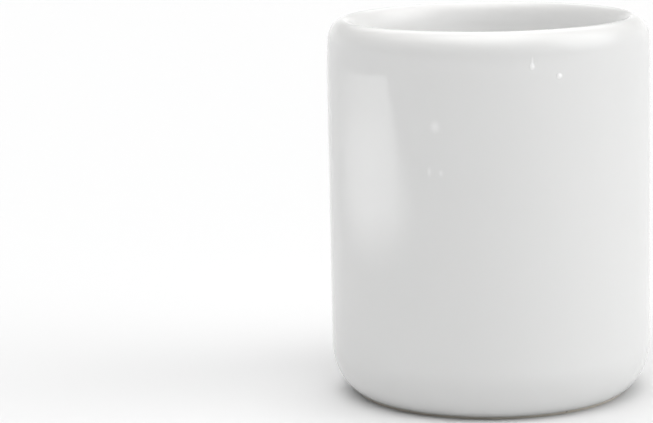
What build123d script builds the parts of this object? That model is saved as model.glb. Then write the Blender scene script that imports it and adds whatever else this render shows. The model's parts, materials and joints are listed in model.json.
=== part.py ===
from build123d import *
from math import acos, atan, cos, degrees, sin, tan
import os

# A straight-sided porcelain crucible, standing on its base at the origin with its mouth up.
# All sizes are in millimetres and are taken over the glaze.

# Overall sizes
outer_diameter = 40.0
overall_height = 47.0

# Walls
wall_thickness = 3.3
floor_thickness = 4.0
glaze_thickness = 0.25

# Rounded corner between the wall and the base: an arc of an ellipse, taller than it is wide
base_corner_width = 4.4
base_corner_height = 6.4

# How far the bare, unglazed foot reaches out beyond the flat of the base
bare_foot_margin = 1.2

# Rolled rim: the outer roll rises to the crest, and the inner roll runs down into the bore
outer_roll_width = 2.0
outer_roll_height = 3.0
inner_roll_height = 2.6

# Gentle lead-in between the straight wall and the outer roll: an arc that leans in towards the rim
rim_lead_height = 3.2
rim_lead_inset = 0.1

# Rounded corner between the bore and the floor, where a charge can be rubbed out with a rod
inner_corner_radius = 5.0

# Worked out from the sizes above
outer_radius = outer_diameter / 2
bore_radius = outer_radius - wall_thickness
rim_lead_lean = 2 * atan(rim_lead_inset / rim_lead_height)
outer_roll_start = atan(tan(rim_lead_lean) * outer_roll_height / outer_roll_width)
outer_roll_base = overall_height - outer_roll_height
wall_top = outer_roll_base + outer_roll_height * sin(outer_roll_start) - rim_lead_height
crest_radius = outer_radius - rim_lead_inset - outer_roll_width * cos(outer_roll_start)
inner_roll_width = crest_radius - bore_radius
base_flat_radius = outer_radius - base_corner_width
bare_foot_radius = base_flat_radius + bare_foot_margin
bore_top = overall_height - inner_roll_height


def outside_surface(depth):
    """Edges from the foot up the wall and over the rim to the bore, this far below the finished surface."""
    corner_width = base_corner_width - depth
    corner_height = base_corner_height - depth
    foot_angle = degrees(acos(bare_foot_margin / corner_width))
    corner_centre = (base_flat_radius, base_corner_height)
    corner = EllipticalCenterArc(corner_centre, corner_width, corner_height, -foot_angle, arc_size=foot_angle)
    wall = Line(corner @ 1, (outer_radius - depth, wall_top))
    roll_centre = (crest_radius, outer_roll_base)
    roll_width = outer_roll_width - depth
    roll_height = outer_roll_height - depth
    start = degrees(outer_roll_start)
    outer_roll = EllipticalCenterArc(roll_centre, roll_width, roll_height, start, arc_size=90 - start)
    lead = TangentArc(wall @ 1, outer_roll @ 0, tangent=wall % 1)
    inner_centre = (crest_radius, bore_top)
    inner_width = inner_roll_width - depth
    inner_height = inner_roll_height - depth
    inner_roll = EllipticalCenterArc(inner_centre, inner_width, inner_height, 90, arc_size=90)
    return corner + wall + lead + outer_roll + inner_roll


def lining_surface(depth):
    """Edges from the top of the bore down to the middle of the floor, this far below the finished surface."""
    corner_centre = (bore_radius - inner_corner_radius, floor_thickness + inner_corner_radius)
    corner = CenterArc(corner_centre, inner_corner_radius + depth, 0, -90)
    bore = Line((bore_radius + depth, bore_top), corner @ 0)
    floor = Line(corner @ 1, (0, floor_thickness - depth))
    return bore + corner + floor


def turned(outline):
    """The solid that a closed outline, drawn as radius and height, sweeps about the crucible's axis."""
    return revolve(Plane.XZ * make_face(outline), Axis.Z)


def coat(surface, bond):
    """A layer of glaze between its finished surface and the porcelain that it is bonded to."""
    return turned(surface + bond + Line(surface @ 0, bond @ 0) + Line(surface @ 1, bond @ 1))


def porcelain_body():
    """The fired porcelain under the glaze, with the bare foot that it stands on."""
    outside = outside_surface(glaze_thickness)
    lining = lining_surface(glaze_thickness)
    foot = Polyline(lining @ 1, (0, 0), (bare_foot_radius, 0), outside @ 0)
    return turned(foot + outside + lining)


def outer_glaze():
    """The coat over the outside and the rim, from its edge just above the foot to the top of the bore."""
    return coat(outside_surface(0), outside_surface(glaze_thickness))


def inner_glaze():
    """The coat that lines the bore and the floor, and meets the outer coat at the top of the bore."""
    return coat(lining_surface(0), lining_surface(glaze_thickness))


pieces = {
    "porcelain_body": porcelain_body(),
    "outer_glaze": outer_glaze(),
    "inner_glaze": inner_glaze(),
}

os.makedirs("parts", exist_ok=True)
for name, piece in pieces.items():
    export_step(piece, os.path.join("parts", f"{name}.step"))
    box = piece.bounding_box()
    print(f"{name}: {piece.volume:.1f} mm3, z {box.min.Z:.2f} to {box.max.Z:.2f}")
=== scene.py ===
import bmesh
import bpy
import json
import math
from mathutils import Matrix, Vector, noise


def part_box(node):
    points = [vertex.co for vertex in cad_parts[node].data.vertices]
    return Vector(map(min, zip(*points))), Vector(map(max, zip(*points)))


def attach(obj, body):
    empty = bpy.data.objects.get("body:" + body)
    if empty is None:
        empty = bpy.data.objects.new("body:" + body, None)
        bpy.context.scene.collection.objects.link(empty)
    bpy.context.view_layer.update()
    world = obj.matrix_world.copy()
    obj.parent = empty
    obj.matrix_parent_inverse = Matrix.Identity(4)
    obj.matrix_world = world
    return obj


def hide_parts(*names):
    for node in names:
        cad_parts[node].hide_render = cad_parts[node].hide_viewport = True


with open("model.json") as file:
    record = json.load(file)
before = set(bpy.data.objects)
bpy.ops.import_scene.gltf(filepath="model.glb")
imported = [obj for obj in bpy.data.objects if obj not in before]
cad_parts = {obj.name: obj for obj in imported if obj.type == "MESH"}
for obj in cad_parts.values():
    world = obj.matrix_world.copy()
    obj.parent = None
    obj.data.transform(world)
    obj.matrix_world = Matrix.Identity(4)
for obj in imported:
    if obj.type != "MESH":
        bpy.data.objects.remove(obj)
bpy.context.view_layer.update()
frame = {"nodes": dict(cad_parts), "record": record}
print("frame:", ", ".join(sorted(frame["nodes"])))

mm = 0.001
fullTurn = 2 * math.pi
quarterTurn = math.pi / 2

# sizes of the crucible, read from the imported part

mounts = {mount["name"]: mount for mount in frame["record"]["mounts"]}


def straightSpan(name):
    # lowest and highest point of a straight round wall
    mount = mounts[name]
    half = mount["dims"]["length_mm"] * mm / 2
    return mount["pos_m"][2] - half, mount["pos_m"][2] + half


def widestRing(node, low, high):
    # radius of the widest ring of points between two heights of a node
    points = [vert.co for vert in frame["nodes"][node].data.vertices]
    return max(point.xy.length for point in points if low <= point.z <= high)


glazeLow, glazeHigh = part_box("outer_glaze")
wallBottom, wallTop = straightSpan("outer_wall")
boreBottom, boreTop = straightSpan("mouth_bore")
boreRadius = mounts["mouth_bore"]["dims"]["r_mm"] * mm
outerRadius = glazeHigh.x
rimHeight = glazeHigh.z
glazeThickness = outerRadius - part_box("porcelain_body")[1].x
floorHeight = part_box("inner_glaze")[0].z + glazeThickness
innerCorner = boreBottom - floorHeight
hair = 0.001 * mm
footRadius = widestRing("porcelain_body", 0, hair)
crestRadius = widestRing("outer_glaze", rimHeight - hair, rimHeight)
# the base corner is an arc of an ellipse through the lower edge of the glaze
edgeShare = math.sqrt(1 - (1 - glazeLow.z / wallBottom) ** 2)
flatRadius = (footRadius - edgeShare * outerRadius) / (1 - edgeShare)
# the wall leans in a little between its straight part and the roll of the rim
rimShape = {"leadHeight": 3.2 * mm, "leadInset": 0.1 * mm, "rollHeight": 3.0 * mm}
leadLean = 2 * math.atan(rimShape["leadInset"] / rimShape["leadHeight"])
leadRadius = rimShape["leadHeight"] / math.sin(leadLean)
rollBase = rimHeight - rimShape["rollHeight"]
rollStart = math.asin((wallTop + rimShape["leadHeight"] - rollBase) / rimShape["rollHeight"])
rollWidth = (outerRadius - rimShape["leadInset"] - crestRadius) / math.cos(rollStart)
print(f"crucible: {outerRadius * 2 / mm:.1f} mm across, {rimHeight / mm:.1f} mm tall")

# outlines are drawn in the XZ plane and spun about the axis

outlineSteps = {
    "around": 256,
    "corner": 28,
    "wall": 44,
    "lead": 10,
    "outerRoll": 34,
    "innerRoll": 24,
    "innerCorner": 24,
    "floor": 36,
    "under": 72,
    "bead": 6,
    "hidden": 0.5,  # share of these steps on the bonded side of a coat
}

outlineWeld = 0.03 * mm  # ends of neighbouring runs closer than this become one point
creaseAngle = math.radians(35)  # edges that turn more than this are drawn sharp

# slow unevenness of the fired wall, shared by every layer so that they stay bonded
firedShape = {
    "oval": 0.06 * mm,
    "ovalTurn": math.radians(35),
    "rimWave": 0.05 * mm,
    "rimWaveEase": 3,
    "wave": 0.035 * mm,
    "waveSize": 13 * mm,
    "waveFade": 0.25,  # share of the height over which the waves grow from nothing at the base
    "ripple": 0.009 * mm,  # forming rings inside, and turning rings under the foot
    "ripplePitch": 5.2 * mm,
    "turning": 0.05 * mm,
    "turningPitch": 1.9 * mm,
    "footLine": 0.45 * mm,  # how far the lower edge of the glaze wanders up
    "footLineSize": 6 * mm,
    "footLineEase": 6,
}


def swingArc(bm, centre, width, height, start, sweep, steps):
    # a point swung about the Y axis, then stretched into an arc of an ellipse
    first = bm.verts.new((math.cos(start), 0, math.sin(start)))
    bmesh.ops.spin(bm, geom=[first], cent=(0, 0, 0), axis=(0, -1, 0), angle=sweep, steps=steps)
    arc = [first]
    while len(arc) <= steps:
        neighbours = [edge.other_vert(arc[-1]) for edge in arc[-1].link_edges]
        arc.append(next(vert for vert in neighbours if vert not in arc))
    bmesh.ops.scale(bm, vec=(width, 1, height), verts=arc)
    bmesh.ops.translate(bm, vec=(centre[0], 0, centre[1]), verts=arc)
    return arc


def joinRun(bm, start, end, steps):
    # a straight run of even steps; its last point merges with the end later
    step = (end.co - start.co) / steps
    bmesh.ops.spin(bm, geom=[start], axis=(0, 0, 1), angle=0, dvec=step, steps=steps)


def drawOutside(bm, depth, share=1):
    # from the foot up the wall and over the rim to the top of the bore
    counts = {name: max(1, round(steps * share)) for name, steps in outlineSteps.items()}
    width, height = outerRadius - flatRadius - depth, wallBottom - depth
    footAngle = math.acos((footRadius - flatRadius) / width)
    centre = (flatRadius, wallBottom)
    corner = swingArc(bm, centre, width, height, -footAngle, footAngle, counts["corner"])
    centre, radius = (outerRadius - leadRadius, wallTop), leadRadius - depth
    lead = swingArc(bm, centre, radius, radius, 0, leadLean, counts["lead"])
    centre, sweep = (crestRadius, rollBase), quarterTurn - rollStart
    width, height = rollWidth - depth, rimShape["rollHeight"] - depth
    outerRoll = swingArc(bm, centre, width, height, rollStart, sweep, counts["outerRoll"])
    centre = (crestRadius, boreTop)
    width, height = crestRadius - boreRadius - depth, rimHeight - boreTop - depth
    innerRoll = swingArc(bm, centre, width, height, quarterTurn, quarterTurn, counts["innerRoll"])
    joinRun(bm, corner[-1], lead[0], counts["wall"])
    joinRun(bm, lead[-1], outerRoll[0], 1)
    joinRun(bm, outerRoll[-1], innerRoll[0], 1)
    return corner[0], innerRoll[-1]


def drawLining(bm, depth, share=1):
    # from the top of the bore down to the middle of the floor
    counts = {name: max(1, round(steps * share)) for name, steps in outlineSteps.items()}
    centre = (boreRadius - innerCorner, boreBottom)
    radius = innerCorner + depth
    corner = swingArc(bm, centre, radius, radius, 0, -quarterTurn, counts["innerCorner"])
    top = bm.verts.new((boreRadius + depth, 0, boreTop))
    middle = bm.verts.new((0, 0, floorHeight - depth))
    joinRun(bm, top, corner[0], counts["wall"])
    joinRun(bm, corner[-1], middle, counts["floor"])
    return top, middle


def settle(bm):
    # moves every point by the unevenness of the fired wall; the foot stays flat
    for vert in bm.verts:
        out = Vector((vert.co.x, vert.co.y, 0))
        turn = math.atan2(vert.co.y, vert.co.x)
        lift = min(1, max(0, vert.co.z / rimHeight))
        push = firedShape["oval"] * math.cos(2 * (turn - firedShape["ovalTurn"])) * lift
        wave = noise.noise(vert.co / firedShape["waveSize"])
        push += firedShape["wave"] * wave * min(1, lift / firedShape["waveFade"])
        rimWave = noise.noise(out / firedShape["waveSize"])
        rise = firedShape["rimWave"] * rimWave * lift ** firedShape["rimWaveEase"]
        inside = out.length < boreRadius + glazeThickness * 1.5 and vert.co.z > floorHeight / 2
        if inside and vert.co.z < boreTop:
            depth = boreRadius - out.length + vert.co.z
            depth += firedShape["ripplePitch"] * wave
            push += firedShape["ripple"] * math.sin(fullTurn * depth / firedShape["ripplePitch"])
        if vert.co.z < hair and out.length < footRadius - firedShape["turningPitch"] / 4:
            ring = math.cos(fullTurn * (footRadius - out.length) / firedShape["turningPitch"])
            rise = firedShape["turning"] * (1 - ring) / 2
        vert.co += out / outerRadius * push + Vector((0, 0, rise))


def wanderFootLine(bm):
    # slides the lower edge of the glaze up its own surface by an uneven amount
    width, height = outerRadius - flatRadius, wallBottom
    footAngle = math.acos((footRadius - flatRadius) / width)
    for vert in bm.verts:
        across, up = (vert.co.xy.length - flatRadius) / width, (vert.co.z - wallBottom) / height
        if up < 0 < across:
            angle, size = math.atan2(up, across), math.hypot(across, up)
            ring = Vector((vert.co.x, vert.co.y, 0)).normalized()
            wander = 0.5 + 0.5 * noise.noise(ring * outerRadius / firedShape["footLineSize"])
            nearEdge = min(1, -angle / footAngle) ** firedShape["footLineEase"]
            angle += firedShape["footLine"] / width * wander * nearEdge
            vert.co = ring * (flatRadius + width * size * math.cos(angle))
            vert.co.z = wallBottom + height * size * math.sin(angle)


def turnPiece(name, bm, cadNode):
    # spins the outline into a closed piece that stands for a CAD node
    bmesh.ops.remove_doubles(bm, verts=bm.verts, dist=outlineWeld)
    bmesh.ops.spin(
        bm, geom=bm.verts[:] + bm.edges[:], cent=(0, 0, 0), axis=(0, 0, 1),
        angle=fullTurn, steps=outlineSteps["around"], use_merge=True,
    )
    bmesh.ops.remove_doubles(bm, verts=bm.verts, dist=hair)
    if cadNode == "outer_glaze":
        wanderFootLine(bm)
    settle(bm)
    bmesh.ops.recalc_face_normals(bm, faces=bm.faces)
    for face in bm.faces:
        face.smooth = True
    for edge in bm.edges:
        edge.smooth = edge.calc_face_angle(0) < creaseAngle
    mesh = bpy.data.meshes.new(name)
    bm.to_mesh(mesh)
    bm.free()
    piece = bpy.data.objects.new(name, mesh)
    bpy.context.scene.collection.objects.link(piece)
    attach(piece, "root")
    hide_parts(cadNode)
    print(f"{name}: {len(mesh.polygons)} faces")
    return piece


def buildBody():
    bm = bmesh.new()
    foot, rim = drawOutside(bm, glazeThickness, outlineSteps["hidden"])
    top, middle = drawLining(bm, glazeThickness, outlineSteps["hidden"])
    joinRun(bm, rim, top, 1)
    underEdge = bm.verts.new((footRadius, 0, 0))
    underMiddle = bm.verts.new((0, 0, 0))
    joinRun(bm, foot, underEdge, 1)
    joinRun(bm, underEdge, underMiddle, outlineSteps["under"])
    joinRun(bm, underMiddle, middle, 1)
    return turnPiece("porcelainBody", bm, "porcelain_body")


def buildOuterGlaze():
    bm = bmesh.new()
    surfaceFoot, surfaceTop = drawOutside(bm, 0)
    bondFoot, bondTop = drawOutside(bm, glazeThickness, outlineSteps["hidden"])
    # the lower edge of the glaze is a rounded bead
    outer, inner = surfaceFoot.co.xz, bondFoot.co.xz
    half, start = (outer - inner).length / 2, math.atan2(outer.y - inner.y, outer.x - inner.x)
    swingArc(bm, (outer + inner) / 2, half, half, start, -math.pi, outlineSteps["bead"])
    joinRun(bm, surfaceTop, bondTop, 1)
    return turnPiece("outerGlaze", bm, "outer_glaze")


def buildInnerGlaze():
    bm = bmesh.new()
    surfaceTop, surfaceMiddle = drawLining(bm, 0)
    bondTop, bondMiddle = drawLining(bm, glazeThickness, outlineSteps["hidden"])
    joinRun(bm, surfaceTop, bondTop, 1)
    joinRun(bm, surfaceMiddle, bondMiddle, 1)
    return turnPiece("innerGlaze", bm, "inner_glaze")


class Wire:
    # one output of a shader node, ready to be used in sums
    def __init__(self, finish, made, output=0):
        self.finish = finish
        self.made = made
        self.output = output

    def pick(self, output):
        return Wire(self.finish, self.made, output)

    def sum(self, operation, first, second):
        return self.finish.add("ShaderNodeMath", {"operation": operation}, {0: first, 1: second})

    def __add__(self, other):
        return self.sum("ADD", self, other)

    def __radd__(self, other):
        return self.sum("ADD", other, self)

    def __sub__(self, other):
        return self.sum("SUBTRACT", self, other)

    def __rsub__(self, other):
        return self.sum("SUBTRACT", other, self)

    def __mul__(self, other):
        return self.sum("MULTIPLY", self, other)

    def __rmul__(self, other):
        return self.sum("MULTIPLY", other, self)

    def __truediv__(self, other):
        return self.sum("DIVIDE", self, other)

    def __pow__(self, other):
        return self.sum("POWER", self, other)


class Finish:
    # the nodes of one material, or of the world
    def __init__(self, owner):
        owner.use_nodes = True
        self.tree = owner.node_tree
        self.tree.nodes.clear()

    def add(self, kind, settings=None, inputs=None, output=0):
        made = self.tree.nodes.new(kind)
        for name, value in (settings or {}).items():
            setattr(made, name, value)
        for name, value in (inputs or {}).items():
            if isinstance(value, Wire):
                self.tree.links.new(value.made.outputs[value.output], made.inputs[name])
            else:
                made.inputs[name].default_value = value
        return Wire(self, made, output)

    def blend(self, factor, first, second):
        inputs = {0: factor, 6: first, 7: second}
        return self.add("ShaderNodeMix", {"data_type": "RGBA"}, inputs, 2)

    def ramp(self, value, low, high):
        # 0 below low, 1 above high, smooth between
        settings = {"interpolation_type": "SMOOTHSTEP"}
        return self.add("ShaderNodeMapRange", settings, {0: value, 1: low, 2: high})

    def noise(self, place, size, detail=2, roughness=0.5):
        # even noise whose features are this many metres across
        inputs = {"Vector": place, "Scale": 1 / size, "Detail": detail, "Roughness": roughness}
        return self.add("ShaderNodeTexNoise", None, inputs)


def splitPlace(finish):
    # the point on the object, its height and its distance from the axis
    place = finish.add("ShaderNodeTexCoord", output="Object")
    parts = finish.add("ShaderNodeSeparateXYZ", None, {0: place})
    x, y, z = parts.pick("X"), parts.pick("Y"), parts.pick("Z")
    radius = (x * x + y * y) ** 0.5
    return place, z, radius


glazeLook = {
    "ior": 1.5,
    "white": (0.80, 0.80, 0.795, 1),
    "thin": (0.85, 0.845, 0.83, 1),
    "pooled": (0.775, 0.785, 0.78, 1),
    # painted light: a lighter white laid on the bore so it looks more brightly lit
    "lining": (0.95, 0.95, 0.945, 1),
    # painted glint: near-white colour laid on the pimples
    "pimple": (0.98, 0.98, 0.98, 1),
    "cloudSize": 16 * mm,
    "cloud": 0.5,
    "pool": 0.8,
    "crest": 0.6,
    "crestHeight": 2.5 * mm,
    "fullPimple": 0.05 * mm,  # a pimple this high has all of the painted glint colour
    "roughness": 0.03,
    "smearSize": 7 * mm,
    "smear": 0.03,
    "peelSize": 1.6 * mm,
    "peel": 0.0005 * mm,
}

# small pimples of the glaze that catch the light, each also whitened as a painted glint, in
# millimetres; turn is from the camera's side
glazePimples = {
    "run": {"turn": 11.2, "height": 43.7, "radius": 0.24, "stretch": 3.4, "lift": 0.05},
    "drop": {"turn": 11.2, "height": 43.0, "radius": 0.45, "stretch": 1.3, "lift": 0.1},
    "dot": {"turn": 20.9, "height": 41.7, "radius": 0.48, "stretch": 1, "lift": 0.11},
    "speck": {"turn": -22.0, "height": 36.0, "radius": 1.1, "stretch": 1.2, "lift": 0.026},
    "leftSpeck": {"turn": -24.3, "height": 30.6, "radius": 0.45, "stretch": 2.4, "lift": 0.024},
    "lowSpeck": {"turn": -20.1, "height": 30.5, "radius": 0.45, "stretch": 1.5, "lift": 0.024},
    "backDot": {"turn": 152, "height": 28.0, "radius": 0.3, "stretch": 1, "lift": 0.07},
}


def pimpleLift(finish, place):
    lift = 0
    for pimple in glazePimples.values():
        turn = math.radians(pimple["turn"])
        spot = Vector((math.sin(turn), -math.cos(turn), 0)) * outerRadius
        spot.z = pimple["height"] * mm
        away = finish.add("ShaderNodeVectorMath", {"operation": "SUBTRACT"}, {0: place, 1: spot})
        squeeze = {0: away, 1: (1, 1, 1 / pimple["stretch"])}
        away = finish.add("ShaderNodeVectorMath", {"operation": "MULTIPLY"}, squeeze)
        reach = finish.add("ShaderNodeVectorMath", {"operation": "LENGTH"}, {0: away}, "Value")
        lift = lift + (1 - finish.ramp(reach, 0, pimple["radius"] * mm)) * (pimple["lift"] * mm)
    return lift


def glazeFinish(name):
    look = glazeLook
    material = bpy.data.materials.new(name)
    finish = Finish(material)
    place, height, radius = splitPlace(finish)
    cloud = finish.noise(place, look["cloudSize"], 3)
    colour = finish.blend(cloud * look["cloud"], look["white"], look["pooled"])
    # painted light: the bore is painted whiter so it looks more brightly lit; the coat pools
    # where the wall meets the floor, and thins over the rim
    lined = 1 - finish.ramp(radius, boreRadius, crestRadius)
    colour = finish.blend(lined, colour, look["lining"])
    pooling = finish.ramp(radius, boreRadius - innerCorner, boreRadius - innerCorner / 3)
    pooling = pooling * (1 - finish.ramp(height, floorHeight, floorHeight + innerCorner))
    colour = finish.blend(pooling * lined * look["pool"], colour, look["pooled"])
    crest = finish.ramp(height, rimHeight - look["crestHeight"], rimHeight)
    colour = finish.blend(crest * look["crest"], colour, look["thin"])
    lift = pimpleLift(finish, place)
    # painted glint: the colour turns near-white where a pimple rises
    colour = finish.blend(finish.ramp(lift, 0, look["fullPimple"]), colour, look["pimple"])
    smear = finish.noise(place, look["smearSize"], 4, 0.6)
    roughness = look["roughness"] + smear * look["smear"]
    relief = finish.noise(place, look["peelSize"], 1) * look["peel"] + lift
    bump = finish.add("ShaderNodeBump", None, {"Height": relief, "Strength": 1, "Distance": 1})
    inputs = {"Base Color": colour, "Roughness": roughness, "Normal": bump, "IOR": look["ior"]}
    shader = finish.add("ShaderNodeBsdfPrincipled", None, inputs)
    finish.add("ShaderNodeOutputMaterial", None, {"Surface": shader})
    return material


biscuitLook = {
    "colour": (0.78, 0.765, 0.73, 1),
    "grain": (0.62, 0.60, 0.57, 1),
    "flashing": (0.80, 0.72, 0.60, 1),
    "speck": (0.30, 0.27, 0.24, 1),
    "roughness": 0.75,
    "grainSize": 0.25 * mm,
    "grainShare": 0.4,
    "grainDepth": 0.01 * mm,
    "patchSize": 6 * mm,
    "patchFrom": 0.5,
    "patchTo": 0.75,
    "patchShare": 0.35,
    "flashingWidth": 1.6 * mm,
    "flashingWander": 1 * mm,
    "flashingShare": 0.5,
    "speckSize": 0.5 * mm,
    "speckFrom": 0.74,
    "speckTo": 0.78,
    "speckShare": 0.6,
}


def biscuitFinish(name):
    look = biscuitLook
    material = bpy.data.materials.new(name)
    finish = Finish(material)
    place, _, radius = splitPlace(finish)
    grain = finish.noise(place, look["grainSize"], 4, 0.7)
    colour = finish.blend(grain * look["grainShare"], look["colour"], look["grain"])
    patch = finish.noise(place, look["patchSize"], 4, 0.6)
    patchy = finish.ramp(patch, look["patchFrom"], look["patchTo"])
    colour = finish.blend(patchy * look["patchShare"], colour, look["grain"])
    # a warm band where the bare body meets the glaze, and a few dark specks from the kiln
    reach = radius + patch * look["flashingWander"]
    band = finish.ramp(reach, footRadius - look["flashingWidth"], footRadius)
    colour = finish.blend(band * look["flashingShare"], colour, look["flashing"])
    speck = finish.noise(place, look["speckSize"], 1)
    speck = finish.ramp(speck, look["speckFrom"], look["speckTo"])
    colour = finish.blend(speck * look["speckShare"], colour, look["speck"])
    relief = {"Height": grain * look["grainDepth"], "Strength": 1, "Distance": 1}
    bump = finish.add("ShaderNodeBump", None, relief)
    inputs = {"Base Color": colour, "Roughness": look["roughness"], "Normal": bump}
    shader = finish.add("ShaderNodeBsdfPrincipled", None, inputs)
    finish.add("ShaderNodeOutputMaterial", None, {"Surface": shader})
    return material


body = buildBody()
body.data.materials.append(biscuitFinish("biscuitPorcelain"))

outerGlaze = buildOuterGlaze()
outerGlaze.data.materials.append(glazeFinish("outerGlazeGloss"))

innerGlaze = buildInnerGlaze()
innerGlaze.data.materials.append(glazeFinish("innerGlazeGloss"))

floorSetup = {
    "radius": 3.0,  # metres
    "segments": 96,
    "colour": (0.80, 0.80, 0.80, 1),
}


def buildFloor():
    bm = bmesh.new()
    radius, segments = floorSetup["radius"], floorSetup["segments"]
    bmesh.ops.create_circle(bm, cap_ends=True, radius=radius, segments=segments)
    mesh = bpy.data.meshes.new("studioFloor")
    bm.to_mesh(mesh)
    bm.free()
    floor = bpy.data.objects.new("studioFloor", mesh)
    bpy.context.scene.collection.objects.link(floor)
    material = bpy.data.materials.new("paleFloor")
    finish = Finish(material)
    inputs = {"Base Color": floorSetup["colour"], "Roughness": 1, "Specular IOR Level": 0}
    shader = finish.add("ShaderNodeBsdfPrincipled", None, inputs)
    finish.add("ShaderNodeOutputMaterial", None, {"Surface": shader})
    mesh.materials.append(material)


# soft round lights in the studio dome; turn is from the camera's side, positive to the right
domeLights = {
    "topLight": {"turn": -5, "rise": 72, "radius": 46, "soft": 0.85, "level": 3.05},
    "highLeftLight": {"turn": -88, "rise": 56, "radius": 34, "soft": 0.7, "level": 0.75},
    "rightLight": {"turn": 78, "rise": 31, "radius": 38, "soft": 0.75, "level": 2.3},
    "highBackLight": {"turn": 180, "rise": 52, "radius": 38, "soft": 0.8, "level": 1.8},
}
domeSetup = {
    "everywhere": 0.07,
    # a pale band above the horizon, brighter at the back, as a curved backdrop gives
    "frontBand": 0.12,
    "backBand": 1.0,
    "bandTop": 0.45,  # sine of the angle where it ends
    "backdrop": 0.99,
}

# a low card beside the crucible that only the gloss shows; its front edge leans back and
# blurs towards the bottom
cardSetup = {
    "aside": -80 * mm,
    "top": 34.95 * mm,
    "topDrop": 0.033,
    "topBlur": 0.3 * mm,
    "front": -27 * mm,
    "frontLean": 0.9,
    "frontRoom": 60 * mm,  # of mesh ahead of the front edge, where it leans and blurs
    "frontBlur": 0.5 * mm,
    "blur": 0.85,
    "back": 62 * mm,
    "backFade": 36 * mm,
    "fadeBottom": 3 * mm,
    "fadeTop": 14 * mm,
    "frontLevel": 3.2,
    "backLevel": 1.5,
    "dimFrom": -15 * mm,  # along the card, where it starts and ends growing dimmer
    "dimTo": 45 * mm,
    "topShare": 0.75,  # how much dimmer its top edge is, and how far down that reaches
    "topDepth": 14 * mm,
}


def towards(turn, rise):
    # a direction; turn is from the camera's side and rise from the floor, in degrees
    turn, rise = math.radians(turn), math.radians(rise)
    across = math.cos(rise)
    return Vector((math.sin(turn) * across, -math.cos(turn) * across, math.sin(rise)))


def lightDome():
    world = bpy.data.worlds.new("studioDome")
    bpy.context.scene.world = world
    finish = Finish(world)
    direction = finish.add("ShaderNodeTexCoord", output="Generated")
    parts = finish.add("ShaderNodeSeparateXYZ", None, {0: direction})
    band = finish.ramp(parts.pick("Y"), -1, 1) * (domeSetup["backBand"] - domeSetup["frontBand"])
    low = 1 - finish.ramp(parts.pick("Z"), 0, domeSetup["bandTop"])
    level = (band + domeSetup["frontBand"]) * low + domeSetup["everywhere"]
    for setup in domeLights.values():
        inputs = {0: direction, 1: towards(setup["turn"], setup["rise"])}
        facing = finish.add("ShaderNodeVectorMath", {"operation": "DOT_PRODUCT"}, inputs, "Value")
        angle = finish.add("ShaderNodeMath", {"operation": "ARCCOSINE"}, {0: facing})
        outer = math.radians(setup["radius"])
        inner = outer * (1 - setup["soft"])
        level = level + (1 - finish.ramp(angle, inner, outer)) * setup["level"]
    seen = finish.add("ShaderNodeLightPath", output="Is Camera Ray")
    level = level * (1 - seen) + seen * domeSetup["backdrop"]
    light = {"Color": (1, 1, 1, 1), "Strength": level}
    background = finish.add("ShaderNodeBackground", None, light)
    finish.add("ShaderNodeOutputWorld", None, {"Surface": background})


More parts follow.
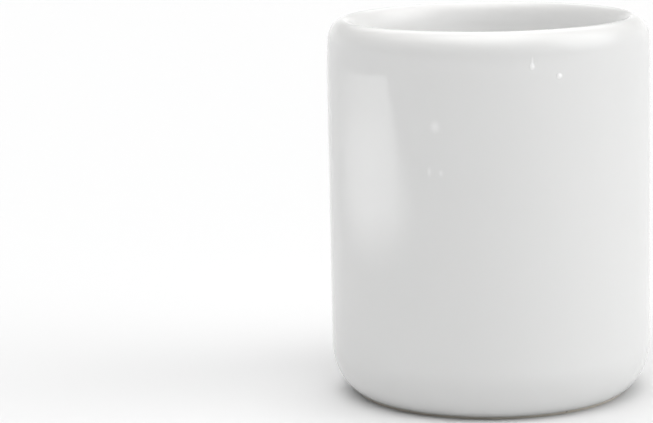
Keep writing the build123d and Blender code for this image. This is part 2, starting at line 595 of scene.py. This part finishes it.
def placeCard():
    setup = cardSetup
    bm = bmesh.new()
    bmesh.ops.create_grid(bm, x_segments=1, y_segments=1, size=0.5)
    length, height = setup["back"] - setup["front"] + setup["frontRoom"], setup["top"]
    upright = Matrix.Rotation(quarterTurn, 3, "Y")
    middle = (setup["aside"], setup["back"] - length / 2, height / 2)
    bmesh.ops.rotate(bm, verts=bm.verts, cent=(0, 0, 0), matrix=upright)
    bmesh.ops.scale(bm, verts=bm.verts, vec=(1, length, height))
    bmesh.ops.translate(bm, verts=bm.verts, vec=middle)
    mesh = bpy.data.meshes.new("glossCard")
    bm.to_mesh(mesh)
    bm.free()
    card = bpy.data.objects.new("glossCard", mesh)
    bpy.context.scene.collection.objects.link(card)
    material = bpy.data.materials.new("glossCard")
    finish = Finish(material)
    place = finish.add("ShaderNodeTexCoord", output="Object")
    parts = finish.add("ShaderNodeSeparateXYZ", None, {0: place})
    along, up = parts.pick("Y"), parts.pick("Z")
    behind = along - setup["front"]
    below = setup["top"] - behind * setup["topDrop"] - up
    edge = behind + below * setup["frontLean"]
    blur = below * setup["blur"] + setup["frontBlur"]
    glow = finish.ramp(edge / blur, -1, 1) * finish.ramp(below, 0, setup["topBlur"])
    glow = glow * finish.ramp(up, setup["fadeBottom"], setup["fadeTop"])
    glow = glow * (1 - finish.ramp(along, setup["back"] - setup["backFade"], setup["back"]))
    clear = finish.add("ShaderNodeBsdfTransparent")
    dimming = finish.ramp(along, setup["dimFrom"], setup["dimTo"])
    level = setup["frontLevel"] + dimming * (setup["backLevel"] - setup["frontLevel"])
    deeper = finish.ramp(below, 0, setup["topDepth"])
    level = level * (setup["topShare"] + deeper * (1 - setup["topShare"]))
    emit = finish.add("ShaderNodeEmission", None, {"Color": level, "Strength": 1})
    shader = finish.add("ShaderNodeMixShader", None, {0: glow, 1: clear, 2: emit})
    finish.add("ShaderNodeOutputMaterial", None, {"Surface": shader})
    mesh.materials.append(material)
    card.visible_camera = False
    card.visible_diffuse = False
    card.visible_shadow = False


# lengths are in diameters of the crucible unless noted, turns in degrees
cameraSetup = {
    "distance": 7.985,
    "frameWidth": 2.046,
    "aside": 0.5107,
    "above": 0.0161,
    "lookDown": 10.21,
    "roll": -1.20,
    "sensor": 36.0,  # millimetres
    "clipStart": 0.01,  # metres
}


def placeCamera():
    setup = cameraSetup
    camera = bpy.data.cameras.new("camera")
    holder = bpy.data.objects.new("camera", camera)
    bpy.context.scene.collection.objects.link(holder)
    bpy.context.scene.camera = holder
    camera.sensor_width = setup["sensor"]
    camera.lens = setup["sensor"] * setup["distance"] / setup["frameWidth"]
    camera.clip_start = setup["clipStart"]
    pitch = math.radians(setup["lookDown"])
    forward = Vector((0, math.cos(pitch), -math.sin(pitch)))
    up = Vector((0, math.sin(pitch), math.cos(pitch)))
    right = Vector((1, 0, 0))
    diameter = 2 * outerRadius
    middle = Vector((0, 0, rimHeight / 2))
    back = forward * setup["distance"] + right * setup["aside"] + up * setup["above"]
    axes = Matrix((right, up, -forward)).transposed()
    roll = Matrix.Rotation(math.radians(setup["roll"]), 3, "Z")
    holder.matrix_world = Matrix.Translation(middle - back * diameter) @ (axes @ roll).to_4x4()


buildFloor()
lightDome()
placeCard()
placeCamera()
bpy.context.scene.view_settings.view_transform = "Standard"
print("studio: floor, dome, card and camera")
